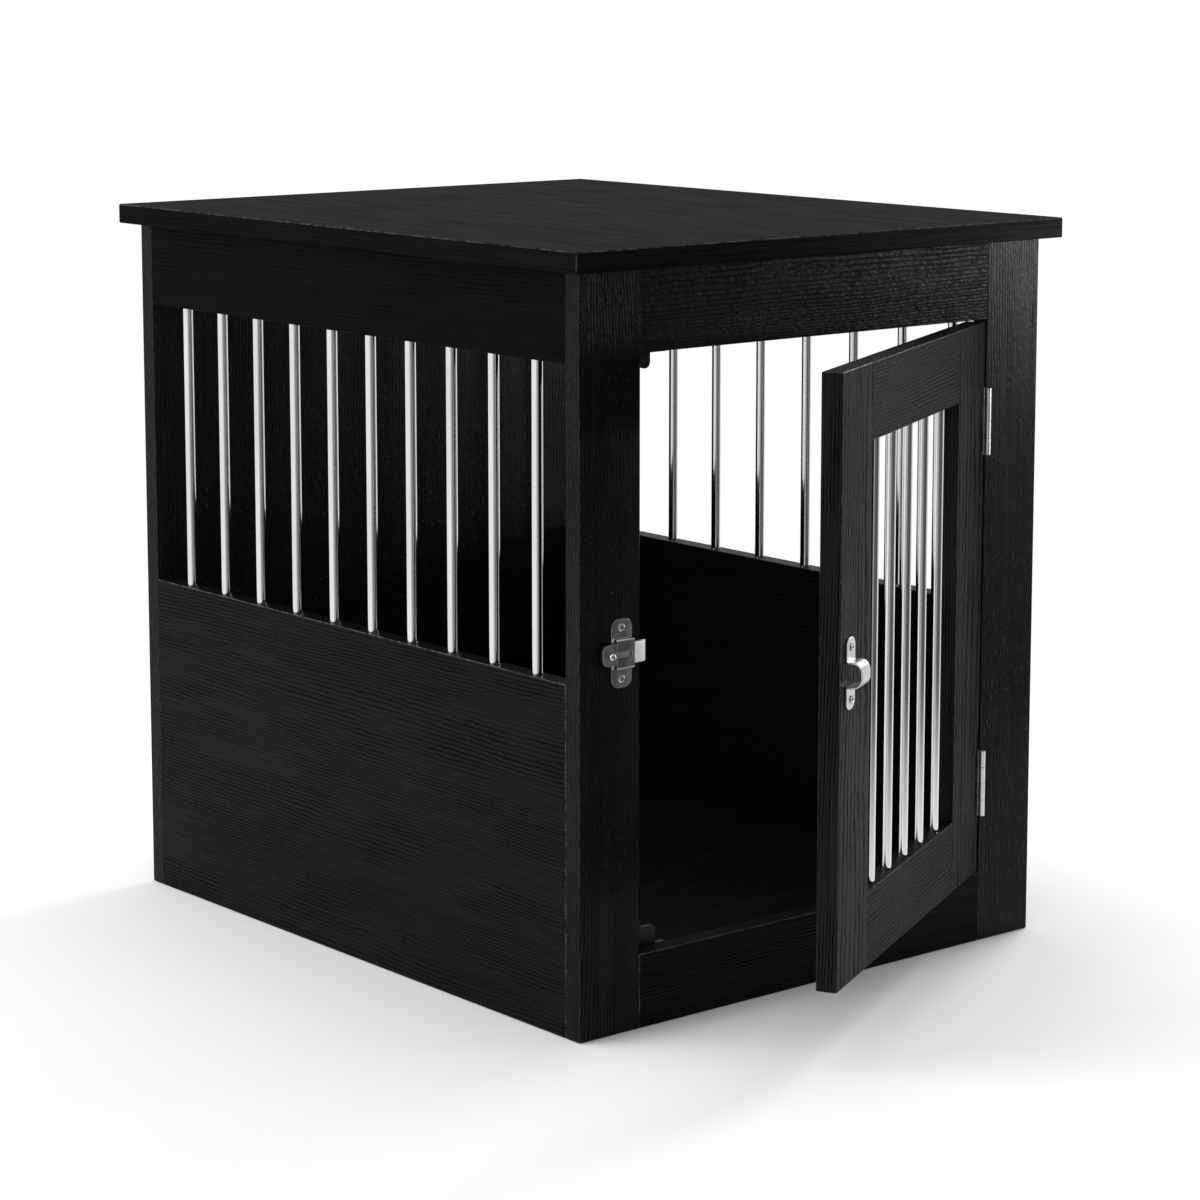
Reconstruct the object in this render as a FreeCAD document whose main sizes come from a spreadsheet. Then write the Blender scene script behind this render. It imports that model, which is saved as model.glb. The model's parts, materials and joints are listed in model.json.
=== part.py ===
"""Pet crate that doubles as an end table.

A table top on a cabinet of boards, round steel bars in both sides, a barred door on two butt
hinges in the front, and a slide bolt on the left front post. Lengths are in millimetres. The front
faces -Y and the left side -X. The origin is on the floor, under the middle of the cabinet. The door
is drawn closed and then swung open about its hinge pins.
"""

import FreeCAD
import Part
import Sketcher
import math
import os
from types import SimpleNamespace

from FreeCAD import Rotation, Vector

DIMENSIONS = {
    # Table top
    "top_overhang": 15,
    "top_thickness": 18,
    "top_ease": 1.0,
    # Cabinet
    "body_width": 536,
    "body_depth": 656,
    "body_height": 642,
    "front_thickness": 18,
    "side_thickness": 18,
    "back_thickness": 18,
    "board_ease": 0.6,
    "post_width": 65,
    "front_rail_height": 70,
    "sill_height": 64,
    "side_rail_height": 76,
    "side_panel_height": 301,
    # Tenons and their mortises
    "tenon_thickness": 8,
    "tenon_length": 25,
    "tenon_shoulder": 12,
    "stub_length": 10,
    "mortise_clearance": 0.1,
    # Bars
    "bar_diameter": 9.5,
    "bar_seat": 15,
    "bar_end_room": 1,
    "bar_clearance": 0.1,
    "left_bar_count": 10,
    "left_bar_margin": 47.5,
    "right_bar_count": 8,
    "right_bar_margin": 80,
    "door_bar_count": 5,
    "door_bar_margin": 32,
    # Floor and cleats
    "floor_height": 40,
    "floor_thickness": 12,
    "floor_gap": 1,
    "bearer_width": 44,
    "cleat_section": 18,
    "cleat_end_gap": 30,
    "cleat_screw_length": 28,
    "cleat_screw_spacing": 400,
    # Door
    "door_thickness": 18,
    "door_gap": 2,
    "door_stile_width": 78,
    "door_rail_width": 64,
    "door_open_angle": 28,
    # Hinges
    "hinge_length": 60,
    "hinge_barrel": 6,
    "hinge_pin": 3,
    "hinge_proud": 3.3,
    "hinge_leaf_thickness": 1.2,
    "hinge_leaf_depth": 15,
    "hinge_knuckle_gap": 0.3,
    "hinge_relief": 0.4,
    "hinge_running_clearance": 0.05,
    "hinge_bed_clearance": 0.2,
    "hinge_screw_spacing": 38,
    "hinge_screw_head_height": 0.6,
    "upper_hinge_drop": 89.5,
    "lower_hinge_rise": 82.5,
    # Screws
    "screw_length": 13,
    "screw_shank": 3.2,
    "screw_head": 7,
    "screw_head_height": 1.6,
    "screw_clearance": 0.1,
    # Slide bolt on the left post
    "latch_height": 325,
    "latch_inset": 10,
    "latch_width": 22,
    "latch_length": 58,
    "latch_plate": 1.5,
    "latch_corner": 8,
    "latch_screw_spacing": 43,
    "bridge_width": 19,
    "bridge_side": 3.6,
    "bridge_front": 1.3,
    "bridge_round": 2.5,
    "bolt_height": 18,
    "bolt_thickness": 3.8,
    "bolt_clearance": 0.3,
    "bolt_overhang": 3.5,
    "bolt_bevel_run": 5,
    "bolt_bevel_depth": 2.6,
    "bolt_tail": 6,
    "bolt_tail_round": 6,
    "bolt_travel": 22,
    "knob_offset": 6,
    "knob_stem": 4,
    "knob_seat": 3,
    "knob_head": 6.6,
    "knob_head_height": 5,
    # Keeper on the door
    "keeper_inset": 13,
    "keeper_width": 21,
    "keeper_length": 59,
    "keeper_strap": 1.5,
    "keeper_corner": 8,
    "keeper_loop_height": 18.8,
    "keeper_loop_clear": 13,
    "keeper_round": 7,
    "keeper_screw_spacing": 43,
    # Door stops
    "stop_inset": 15,
    "stop_gap": 0.3,
    "stop_thickness": 5,
    "stop_base_width": 29,
    "stop_base_height": 22,
    "stop_ledge": 3,
    "upper_stop_width": 11,
    "upper_stop_reach": 16,
    "lower_stop_width": 18,
    "lower_stop_reach": 16,
    "lower_stop_corner": 4,
}

# How far a cutting tool runs past the face it cuts
OVERCUT = 1.0

# Sides of the small hidden or repeated round forms, which are drawn as prisms to keep the model light
SHANK_SIDES = 6
SOCKET_SIDES = 8
HEAD_SIDES = 10

LEFT, RIGHT = -1, 1
TOWARDS = {
    "+x": Vector(1, 0, 0),
    "-x": Vector(-1, 0, 0),
    "+y": Vector(0, 1, 0),
    "-y": Vector(0, -1, 0),
    "+z": Vector(0, 0, 1),
    "-z": Vector(0, 0, -1),
}
OPPOSITE = {"+": "-", "-": "+"}
ALONG = {"x": 0, "y": 1, "z": 2}


class Size:
    """A length that knows its number and the expression that gives it from the sheet."""

    def __init__(self, value, text):
        self.value = value
        self.text = text

    def __add__(self, other):
        other = as_size(other)
        return Size(self.value + other.value, f"({self.text} + {other.text})")

    def __sub__(self, other):
        other = as_size(other)
        return Size(self.value - other.value, f"({self.text} - {other.text})")

    def __mul__(self, other):
        other = as_size(other)
        return Size(self.value * other.value, f"({self.text} * {other.text})")

    def __truediv__(self, other):
        other = as_size(other)
        return Size(self.value / other.value, f"({self.text} / {other.text})")

    def __neg__(self):
        return Size(-self.value, f"(-{self.text})")


def as_size(value):
    return value if isinstance(value, Size) else Size(float(value), f"({float(value)})")


def cosine(angle):
    return Size(math.cos(math.radians(angle.value)), f"cos({angle.text} * 1 deg)")


def sine(angle):
    return Size(math.sin(math.radians(angle.value)), f"sin({angle.text} * 1 deg)")


doc = FreeCAD.newDocument("PetCrate")
sheet = doc.addObject("Spreadsheet::Sheet", "Dims")
for row, (alias, number) in enumerate(DIMENSIONS.items(), start=1):
    sheet.set(f"A{row}", alias)
    sheet.set(f"B{row}", str(number))
    sheet.setAlias(f"B{row}", alias)
doc.recompute()
d = SimpleNamespace(**{alias: Size(number, f"Dims.{alias}") for alias, number in DIMENSIONS.items()})

# Planes that the pieces share
half_width = d.body_width / 2
front = -d.body_depth / 2
back = d.body_depth / 2
frame_back = front + d.front_thickness
back_face = back - d.back_thickness
post_inner = half_width - d.post_width
side_inner = half_width - d.side_thickness
side_middle = half_width - d.side_thickness / 2
rail_bottom = d.body_height - d.front_rail_height
side_rail_bottom = d.body_height - d.side_rail_height
floor_under = d.floor_height - d.floor_thickness

door_left = -post_inner + d.door_gap
door_right = post_inner - d.door_gap
door_bottom = d.sill_height + d.door_gap
door_top = rail_bottom - d.door_gap
door_back = front + d.door_thickness
door_middle = front + d.door_thickness / 2
hinge_x = post_inner - d.door_gap / 2
hinge_y = front - d.hinge_proud
upper_hinge_height = door_top - d.upper_hinge_drop
lower_hinge_height = door_bottom + d.lower_hinge_rise

latch_right = -post_inner - d.latch_inset
latch_left = latch_right - d.latch_width
latch_middle = (latch_left + latch_right) / 2
plate_face = front - d.latch_plate
bolt_back = plate_face - d.bolt_clearance
bolt_face = bolt_back - d.bolt_thickness
bridge_inner = bolt_face - d.bolt_clearance
bridge_face = bridge_inner - d.bridge_front
knob_x = latch_left - d.knob_offset
bolt_end = -post_inner + d.bolt_overhang

keeper_left = door_left + d.keeper_inset
keeper_right = keeper_left + d.keeper_width
stop_left = -post_inner + d.stop_inset

nodes = []


def node(item, swings=False):
    """Count an object as a finished piece; the door's pieces swing about the hinge pins."""
    item.Label = item.Name
    if swings:
        turn_x = hinge_x - hinge_x * cosine(d.door_open_angle) + hinge_y * sine(d.door_open_angle)
        turn_y = hinge_y - hinge_x * sine(d.door_open_angle) - hinge_y * cosine(d.door_open_angle)
        item.setExpression("Placement.Rotation.Angle", d.door_open_angle.text)
        put(item, (turn_x, turn_y, 0))
    nodes.append(item)
    return item


def bind(item, **sizes):
    for name, size in sizes.items():
        item.setExpression(name, as_size(size).text)


def put(item, at):
    for letter, size in zip("xyz", at):
        item.setExpression(f"Placement.Base.{letter}", as_size(size).text)


def box(name, x, y, z):
    """A box between two planes along each axis."""
    item = doc.addObject("Part::Box", name)
    bind(item, Length=x[1] - x[0], Width=y[1] - y[0], Height=z[1] - z[0])
    put(item, (x[0], y[0], z[0]))
    return item


def rod(name, diameter, length, at, towards="+z"):
    item = doc.addObject("Part::Cylinder", name)
    bind(item, Radius=diameter / 2, Height=length)
    item.Placement.Rotation = Rotation(Vector(0, 0, 1), TOWARDS[towards])
    put(item, at)
    return item


def prism(name, sides, across, length, at, towards="+z"):
    """A regular prism, measured across its flats."""
    item = doc.addObject("Part::Prism", name)
    item.Polygon = sides
    bind(item, Circumradius=across / 2 / cosine(as_size(180 / sides)), Height=length)
    item.Placement.Rotation = Rotation(Vector(0, 0, 1), TOWARDS[towards])
    put(item, at)
    return item


def group(name, pieces):
    item = doc.addObject("Part::Compound", name)
    item.Links = pieces
    return item


def fuse(name, pieces):
    item = doc.addObject("Part::MultiFuse", name)
    item.Shapes = pieces
    item.Refine = True
    return item


def cut(name, base, tools):
    item = doc.addObject("Part::Cut", name)
    item.Base = base
    item.Tool = tools[0] if len(tools) == 1 else group(f"{name}_tools", tools)
    return item


def origin_plane(body, role):
    return next(plane for plane in body.Origin.OriginFeatures if plane.Role == role)


def outline(body, name, role, corners):
    """A closed sketch of straight lines, with each corner held by its two sizes from the origin."""
    sketch = body.newObject("Sketcher::SketchObject", name)
    sketch.AttachmentSupport = [(origin_plane(body, role), "")]
    sketch.MapMode = "FlatFace"
    points = [Vector(as_size(across).value, as_size(up).value, 0) for across, up in corners]
    for index, point in enumerate(points):
        sketch.addGeometry(Part.LineSegment(point, points[(index + 1) % len(points)]))
    for index in range(len(points)):
        following = (index + 1) % len(points)
        sketch.addConstraint(Sketcher.Constraint("Coincident", index, 2, following, 1))
    for index, corner in enumerate(corners):
        for kind, size in zip(("DistanceX", "DistanceY"), corner):
            size = as_size(size)
            held = sketch.addConstraint(Sketcher.Constraint(kind, -1, 1, index, 1, size.value))
            sketch.setExpression(f"Constraints[{held}]", size.text)
    return sketch


def pad(body, name, sketch, length):
    feature = body.newObject("PartDesign::Pad", name)
    feature.Profile = sketch
    bind(feature, Length=length)
    doc.recompute()
    return feature


def edges_along(feature, axis, keep=lambda middle: True):
    """Names of a feature's straight edges along one axis whose middle is to be kept."""
    names = []
    for index, edge in enumerate(feature.Shape.Edges, start=1):
        run = edge.Vertexes[-1].Point - edge.Vertexes[0].Point
        if abs(run[ALONG[axis]]) > 0.999 * run.Length and keep(edge.CenterOfMass):
            names.append(f"Edge{index}")
    return names


def dress(body, kind, feature, edges, size):
    """A Chamfer or Fillet on some edges of a feature."""
    item = body.newObject(f"PartDesign::{kind}", f"{body.Name}_{kind.lower()}")
    item.Base = (feature, edges)
    bind(item, **{"Size" if kind == "Chamfer" else "Radius": size})
    doc.recompute()
    return item


def board(name, x, y, z, ease=d.board_ease):
    """A board with all its edges eased."""
    body = doc.addObject("PartDesign::Body", name)
    length, width = x[1] - x[0], y[1] - y[0]
    corners = [(0, 0), (length, 0), (length, width), (0, width)]
    sketch = outline(body, f"{name}_outline", "XY_Plane", corners)
    feature = pad(body, f"{name}_pad", sketch, z[1] - z[0])
    edges = [f"Edge{index}" for index in range(1, len(feature.Shape.Edges) + 1)]
    dress(body, "Chamfer", feature, edges, ease)
    put(body, (x[0], y[0], z[0]))
    return body


def grown(span, by):
    return (span[0] - by, span[1] + by)


def around(middle, size):
    return (middle - size / 2, middle + size / 2)


def tenoned(name, x, y, z, axis, length):
    """A board with a tenon at both ends along an axis, and the tool that cuts both mortises."""
    blank = board(f"{name}_board", x, y, z)
    spans = {"x": x, "y": y, "z": grown(z, -d.tenon_shoulder)}
    across = "y" if axis == "x" else "x"
    spans[axis] = grown(spans[axis], length)
    middle = (spans[across][0] + spans[across][1]) / 2
    spans[across] = around(middle, d.tenon_thickness)
    tenons = box(f"{name}_tenons", spans["x"], spans["y"], spans["z"])
    room = {letter: grown(span, d.mortise_clearance) for letter, span in spans.items()}
    mortises = box(f"{name}_mortises", room["x"], room["y"], room["z"])
    return fuse(f"{name}_tenoned", [blank, tenons]), mortises


def screw(name, at, towards, length=d.screw_length, head_height=d.screw_head_height):
    """A screw whose head stands on the face that it holds, and the tool for its hole."""
    away = OPPOSITE[towards[0]] + towards[1]
    head = prism(f"{name}_head", HEAD_SIDES, d.screw_head, head_height, at, away)
    shank = prism(f"{name}_shank", SHANK_SIDES, d.screw_shank, length, at, towards)
    bore = d.screw_shank + d.screw_clearance * 2
    hole = prism(f"{name}_hole", SHANK_SIDES, bore, length + d.screw_clearance, at, towards)
    return fuse(name, [head, shank]), hole


def bar_row(name, places, bottom, top):
    """Bars that stand in sockets of a lower and an upper board; gives the tools for the sockets."""
    bars, lower_holes, upper_holes = [], [], []
    bore = d.bar_diameter + d.bar_clearance * 2
    for index, (x, y) in enumerate(places):
        foot = bottom - d.bar_seat
        length = top + d.bar_seat - d.bar_end_room - foot
        bars.append(rod(f"{name}_{index}", d.bar_diameter, length, (x, y, foot)))
        depth = d.bar_seat + OVERCUT
        socket = f"{name}_{index}_socket"
        lower_holes.append(prism(f"{socket}_below", SOCKET_SIDES, bore, depth, (x, y, foot)))
        upper_holes.append(prism(f"{socket}_above", SOCKET_SIDES, bore, depth, (x, y, top - OVERCUT)))
    node(group(name, bars), swings=name.startswith("door"))
    return lower_holes, upper_holes


def spread(count, first, last):
    """Evenly spaced values from the first to the last."""
    step = (last - first) / (count - 1)
    return [first + step * index for index in range(count)]


def table_top(screw_holes):
    x = grown((-half_width, half_width), d.top_overhang)
    y = grown((front, back), d.top_overhang)
    z = (d.body_height, d.body_height + d.top_thickness)
    node(cut("table_top", board("table_top_board", x, y, z, d.top_ease), screw_holes))


def side(name, sign, screw_holes):
    """A side's top rail, lower panel and bars; gives the tools for the mortises of its tenons."""
    inner, outer = side_inner * sign, half_width * sign
    x = (outer, inner) if sign == LEFT else (inner, outer)
    y = (frame_back, back_face)
    panel_z = (as_size(0), d.side_panel_height)
    rail_z = (side_rail_bottom, d.body_height)
    panel, panel_mortises = tenoned(f"{name}_lower_panel_blank", x, y, panel_z, "y", d.stub_length)
    rail, rail_mortises = tenoned(f"{name}_top_rail_blank", x, y, rail_z, "y", d.stub_length)
    margin = getattr(d, f"{name}_bar_margin")
    rows = spread(DIMENSIONS[f"{name}_bar_count"], y[0] + margin, y[1] - margin)
    places = [(side_middle * sign, row) for row in rows]
    lower_holes, upper_holes = bar_row(f"{name}_bars", places, panel_z[1], rail_z[0])
    node(cut(f"{name}_lower_panel", panel, lower_holes + screw_holes))
    node(cut(f"{name}_top_rail", rail, upper_holes))
    return [panel_mortises, rail_mortises]


def cleat(name, sign, bottom, screw_at, towards):
    """A cleat along the inside of one side; gives its two screws and the tools for their holes."""
    edge = side_inner - d.cleat_section
    x = (-side_inner, -edge) if sign == LEFT else (edge, side_inner)
    y = grown((frame_back, back_face), -d.cleat_end_gap)
    blank = board(f"{name}_board", x, y, (bottom, bottom + d.cleat_section))
    screws, holes = [], []
    for index, along in enumerate(around(as_size(0), d.cleat_screw_spacing)):
        at = (screw_at[0], along, screw_at[1])
        made = screw(f"{name}_screw_{index}", at, towards, d.cleat_screw_length)
        screws.append(made[0])
        holes.append(made[1])
    node(cut(name, blank, holes))
    return screws, holes


def floor_cleat(name, sign):
    """A cleat under an edge of the floor panel, screwed to that side's lower panel."""
    bottom = floor_under - d.cleat_section
    screw_at = ((side_inner - d.cleat_section) * sign, bottom + d.cleat_section / 2)
    return cleat(name, sign, bottom, screw_at, "-x" if sign == LEFT else "+x")


def top_cleat(name, sign):
    """A cleat along a side's top rail, screwed up into the table top."""
    bottom = d.body_height - d.cleat_section
    screw_at = ((side_inner - d.cleat_section / 2) * sign, bottom)
    return cleat(name, sign, bottom, screw_at, "+z")


def floor():
    """The floor panel and the bearer under its middle."""
    x = grown((-side_inner, side_inner), -d.floor_gap)
    y = grown((frame_back, back_face), -d.floor_gap)
    node(board("floor_panel", x, y, (floor_under, d.floor_height)))
    between = grown((-side_inner, side_inner), -(d.cleat_section + d.floor_gap))
    across = around(as_size(0), d.bearer_width)
    node(board("floor_bearer", between, across, (as_size(0), floor_under)))


def hinge_leaf(name, height, x, face, towards, own):
    """A leaf with its own knuckles, relieved round the other leaf's; gives the screws and holes."""
    bottom, top = around(height, d.hinge_length)
    knuckle = (d.hinge_length - d.hinge_knuckle_gap * 3) / 4
    step = knuckle + d.hinge_knuckle_gap
    plate = box(f"{name}_plate", x, (hinge_y, front + d.hinge_leaf_depth), (bottom, top))
    barrels, reliefs = [], []
    for index in range(4):
        foot = bottom + step * index
        if index in own:
            barrels.append(rod(f"{name}_barrel_{index}", d.hinge_barrel, knuckle, (hinge_x, hinge_y, foot)))
        else:
            wide = d.hinge_barrel + d.hinge_relief * 2
            tall = knuckle + d.hinge_knuckle_gap * 2
            at = (hinge_x, hinge_y, foot - d.hinge_knuckle_gap)
            reliefs.append(rod(f"{name}_relief_{index}", wide, tall, at))
    leaf = fuse(f"{name}_blank", [cut(f"{name}_relieved", plate, reliefs)] + barrels)
    bore = d.hinge_pin + d.hinge_running_clearance * 2
    tools = [rod(f"{name}_bore", bore, d.hinge_length, (hinge_x, hinge_y, bottom))]
    screws, holes = [], []
    for index, z in enumerate(around(height, d.hinge_screw_spacing)):
        at = (face, front + d.hinge_leaf_depth / 2, z)
        made = screw(f"{name}_screw_{index}", at, towards, head_height=d.hinge_screw_head_height)
        screws.append(made[0])
        holes.append(made[1])
    node(cut(name, leaf, tools + holes), swings="door" in name)
    return screws, holes


def hinge(name, height):
    """A butt hinge let into the right post and the door's hinge stile."""
    bottom = height - d.hinge_length / 2
    thick = d.hinge_leaf_thickness
    post_x, door_x = (post_inner, post_inner + thick), (door_right - thick, door_right)
    post = hinge_leaf(f"{name}_post_leaf", height, post_x, post_inner, "+x", (1, 3))
    door = hinge_leaf(f"{name}_door_leaf", height, door_x, door_right, "-x", (0, 2))
    node(rod(f"{name}_pin", d.hinge_pin, d.hinge_length, (hinge_x, hinge_y, bottom)))
    y = (front - OVERCUT, front + d.hinge_leaf_depth + d.hinge_bed_clearance)
    z = grown(around(height, d.hinge_length), d.hinge_bed_clearance)
    post_bed = box(f"{name}_post_bed", (post_inner - OVERCUT, post_inner + thick), y, z)
    door_bed = box(f"{name}_door_bed", (door_right - thick, door_right + OVERCUT), y, z)
    post_tools = [fuse(f"{name}_post_cut", [post_bed] + post[1])]
    door_tools = [fuse(f"{name}_door_cut", [door_bed] + door[1])]
    return post[0], post_tools, door[0], door_tools


def rounded_block(name, x, z, rise, rounded, radius):
    """A block that stands on the front plane, with the chosen edges rounded."""
    body = doc.addObject("PartDesign::Body", name)
    width, height = x[1] - x[0], z[1] - z[0]
    corners = [(0, 0), (width, 0), (width, height), (0, height)]
    feature = pad(body, f"{name}_pad", outline(body, f"{name}_outline", "XZ_Plane", corners), rise)
    dress(body, "Fillet", feature, rounded(feature), radius)
    put(body, (x[0], front, z[0]))
    return body


def latch():
    """The slide bolt's housing, bar and knob; gives the holes of its two screws."""
    x = (latch_left, latch_right)
    plate_z = around(d.latch_height, d.latch_length)
    tunnel_z = grown(around(d.latch_height, d.bolt_height), d.bolt_clearance)
    bridge_z = grown(tunnel_z, d.bridge_side)
    rise = front - bridge_face

    def corners(feature):
        return edges_along(feature, "y")

    def front_edges(feature):
        return edges_along(feature, "x", lambda middle: middle.y < -rise.value / 2)

    plate = rounded_block("latch_plate_block", x, plate_z, d.latch_plate, corners, d.latch_corner)
    bridge_x = around(latch_middle, d.bridge_width)
    bridge = rounded_block("latch_bridge_block", bridge_x, bridge_z, rise, front_edges, d.bridge_round)
    through = grown(x, OVERCUT)
    tunnel = box("latch_tunnel", through, (bridge_inner, plate_face), tunnel_z)
    slot_height = d.knob_stem + d.bolt_clearance * 2
    slot_end = knob_x + d.bolt_travel
    slot_y = (bridge_face - OVERCUT, bridge_inner + OVERCUT)
    slot = box("latch_slot", (latch_left - OVERCUT, slot_end), slot_y, around(d.latch_height, slot_height))
    slot_depth = slot_y[1] - slot_y[0]
    slot_round = rod("latch_slot_round", slot_height, slot_depth, (slot_end, slot_y[1], d.latch_height), "-y")
    room = fuse("latch_room", [tunnel, slot, slot_round])
    screws, holes = [], []
    for index, z in enumerate(around(d.latch_height, d.latch_screw_spacing)):
        made = screw(f"latch_screw_{index}", (latch_middle, plate_face, z), "+y")
        screws.append(made[0])
        holes.append(made[1])
    node(cut("latch_housing", fuse("latch_housing_blank", [plate, bridge]), [room] + holes))
    node(group("latch_screws", screws))
    bolt(around(d.latch_height, d.bolt_height))
    return holes


def bolt(z):
    """A flat bar with a bevelled nose and a rounded tail, and the knob that draws it."""
    body = doc.addObject("PartDesign::Body", "bolt_bar_blank")
    length, thick = bolt_end - knob_x + d.bolt_tail, d.bolt_thickness
    bevelled = (length - d.bolt_bevel_run, -thick)
    corners = [(0, 0), (length, 0), (length, d.bolt_bevel_depth - thick), bevelled, (0, -thick)]
    feature = pad(body, "bolt_bar_pad", outline(body, "bolt_bar_outline", "XY_Plane", corners), z[1] - z[0])
    tail = edges_along(feature, "y", lambda middle: middle.x < d.bolt_tail.value)
    dress(body, "Fillet", feature, tail, d.bolt_tail_round)
    put(body, (knob_x - d.bolt_tail, bolt_back, z[0]))
    seat_bottom = bolt_face + d.knob_seat
    bore = d.knob_stem + d.bar_clearance * 2
    depth = d.knob_seat + OVERCUT
    seat_at = (knob_x, seat_bottom, d.latch_height)
    seat = prism("bolt_bar_knob_seat", SOCKET_SIDES, bore, depth, seat_at, "-y")
    node(cut("bolt_bar", body, [seat]))

    knob = doc.addObject("PartDesign::Body", "bolt_knob")
    neck = seat_bottom - bridge_face + d.bolt_clearance
    stem, head = d.knob_stem / 2, d.knob_head / 2
    shoulder = neck + d.knob_head_height * 0.6
    crown = neck + d.knob_head_height
    corners = [(0, 0), (stem, 0), (stem, neck), (head, neck), (head, shoulder), (stem, crown), (0, crown)]
    turned = knob.newObject("PartDesign::Revolution", "bolt_knob_turned")
    turned.Profile = outline(knob, "bolt_knob_profile", "XZ_Plane", corners)
    turned.ReferenceAxis = (turned.Profile[0], ["V_Axis"])
    turned.Angle = 360
    knob.Placement.Rotation = Rotation(Vector(0, 0, 1), TOWARDS["-y"])
    put(knob, seat_at)
    node(knob)


def keeper():
    """A bent strap on the door whose loop takes the bolt; gives the holes of its two screws."""
    body = doc.addObject("PartDesign::Body", "keeper_strap")
    strap, reach = d.keeper_strap, d.keeper_loop_clear
    inner = around(d.keeper_length / 2, d.keeper_loop_height)
    outer = grown(inner, strap)
    corners = [
        (0, 0), (-strap, 0), (-strap, outer[0]), (-reach - strap, outer[0]),
        (-reach - strap, outer[1]), (-strap, outer[1]), (-strap, d.keeper_length),
        (0, d.keeper_length), (0, inner[1]), (-reach, inner[1]), (-reach, inner[0]), (0, inner[0]),
    ]
    feature = pad(body, "keeper_pad", outline(body, "keeper_profile", "YZ_Plane", corners), d.keeper_width)
    bends = (("inner", d.keeper_round), ("outer", d.keeper_round + strap))
    for bend, radius in bends:
        depth = -(reach if bend == "inner" else reach + strap).value
        edges = edges_along(feature, "x", lambda middle: abs(middle.y - depth) < strap.value / 2)
        feature = dress(body, "Fillet", feature, edges, radius)
    ends = (0, d.keeper_length.value)
    edges = edges_along(feature, "y", lambda middle: min(abs(middle.z - end) for end in ends) < strap.value)
    dress(body, "Fillet", feature, edges, d.keeper_corner)
    put(body, (keeper_left, front, d.latch_height - d.keeper_length / 2))
    screws, holes = [], []
    for index, z in enumerate(around(d.latch_height, d.keeper_screw_spacing)):
        at = ((keeper_left + keeper_right) / 2, front - strap, z)
        made = screw(f"keeper_screw_{index}", at, "+y")
        screws.append(made[0])
        holes.append(made[1])
    node(cut("keeper", body, holes), swings=True)
    node(group("keeper_screws", screws), swings=True)
    return holes


def stop_screw(name, z):
    at = (stop_left + d.stop_base_width / 2, door_back + d.stop_gap + d.stop_thickness, z)
    return screw(f"{name}_screw", at, "-y")


def upper_stop():
    """A base behind the top rail, with a ledge and a rounded tab that the closed door meets."""
    y = (door_back + d.stop_gap, door_back + d.stop_gap + d.stop_thickness)
    base_x = (stop_left, stop_left + d.stop_base_width)
    base = box("upper_stop_base", base_x, (frame_back, y[1]), (rail_bottom, rail_bottom + d.stop_base_height))
    ledge = box("upper_stop_ledge", base_x, y, (rail_bottom - d.stop_ledge, rail_bottom))
    tab_x = (stop_left, stop_left + d.upper_stop_width)
    tab_end = rail_bottom - d.upper_stop_reach + d.upper_stop_width / 2
    tab = box("upper_stop_tab", tab_x, y, (tab_end, rail_bottom))
    at = ((tab_x[0] + tab_x[1]) / 2, y[1], tab_end)
    tip = rod("upper_stop_tip", d.upper_stop_width, d.stop_thickness, at, "-y")
    made = stop_screw("upper_stop", rail_bottom + d.stop_base_height / 2)
    node(cut("door_stop_upper", fuse("upper_stop_blank", [base, ledge, tab, tip]), [made[1]]))
    return made


def lower_stop():
    """A base behind the sill, with a tab of rounded corners that the closed door meets."""
    y = (door_back + d.stop_gap, door_back + d.stop_gap + d.stop_thickness)
    base_z = (d.floor_height + d.floor_gap, d.sill_height)
    base = box("lower_stop_base", (stop_left, stop_left + d.stop_base_width), (frame_back, y[1]), base_z)
    body = doc.addObject("PartDesign::Body", "lower_stop_tab")
    width, reach = d.lower_stop_width, d.lower_stop_reach
    corners = [(0, 0), (width, 0), (width, reach), (0, reach)]
    sketch = outline(body, "lower_stop_outline", "XZ_Plane", corners)
    feature = pad(body, "lower_stop_pad", sketch, d.stop_thickness)
    upper = edges_along(feature, "y", lambda middle: middle.z > reach.value / 2)
    dress(body, "Fillet", feature, upper, d.lower_stop_corner)
    put(body, (stop_left, y[1], d.sill_height))
    made = stop_screw("lower_stop", (base_z[0] + base_z[1]) / 2)
    node(cut("door_stop_lower", fuse("lower_stop_blank", [base, body]), [made[1]]))
    return made


def front_frame(side_mortises, latch_holes, hinge_tools, stop_holes):
    """The two posts, the top rail and the sill."""
    between = (-post_inner, post_inner)
    y = (front, frame_back)
    rail_z = (rail_bottom, d.body_height)
    rail, rail_mortises = tenoned("front_top_rail_blank", between, y, rail_z, "x", d.tenon_length)
    sill_z = (as_size(0), d.sill_height)
    sill, sill_mortises = tenoned("front_sill_blank", between, y, sill_z, "x", d.tenon_length)
    shared = [rail_mortises, sill_mortises]
    z = (as_size(0), d.body_height)
    left = board("front_left_post_board", (-half_width, -post_inner), y, z)
    right = board("front_right_post_board", (post_inner, half_width), y, z)
    node(cut("front_left_post", left, shared + side_mortises[LEFT] + latch_holes))
    node(cut("front_right_post", right, shared + side_mortises[RIGHT] + hinge_tools))
    node(cut("front_top_rail", rail, stop_holes[:1]))
    node(cut("front_sill", sill, stop_holes[1:]))


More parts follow.
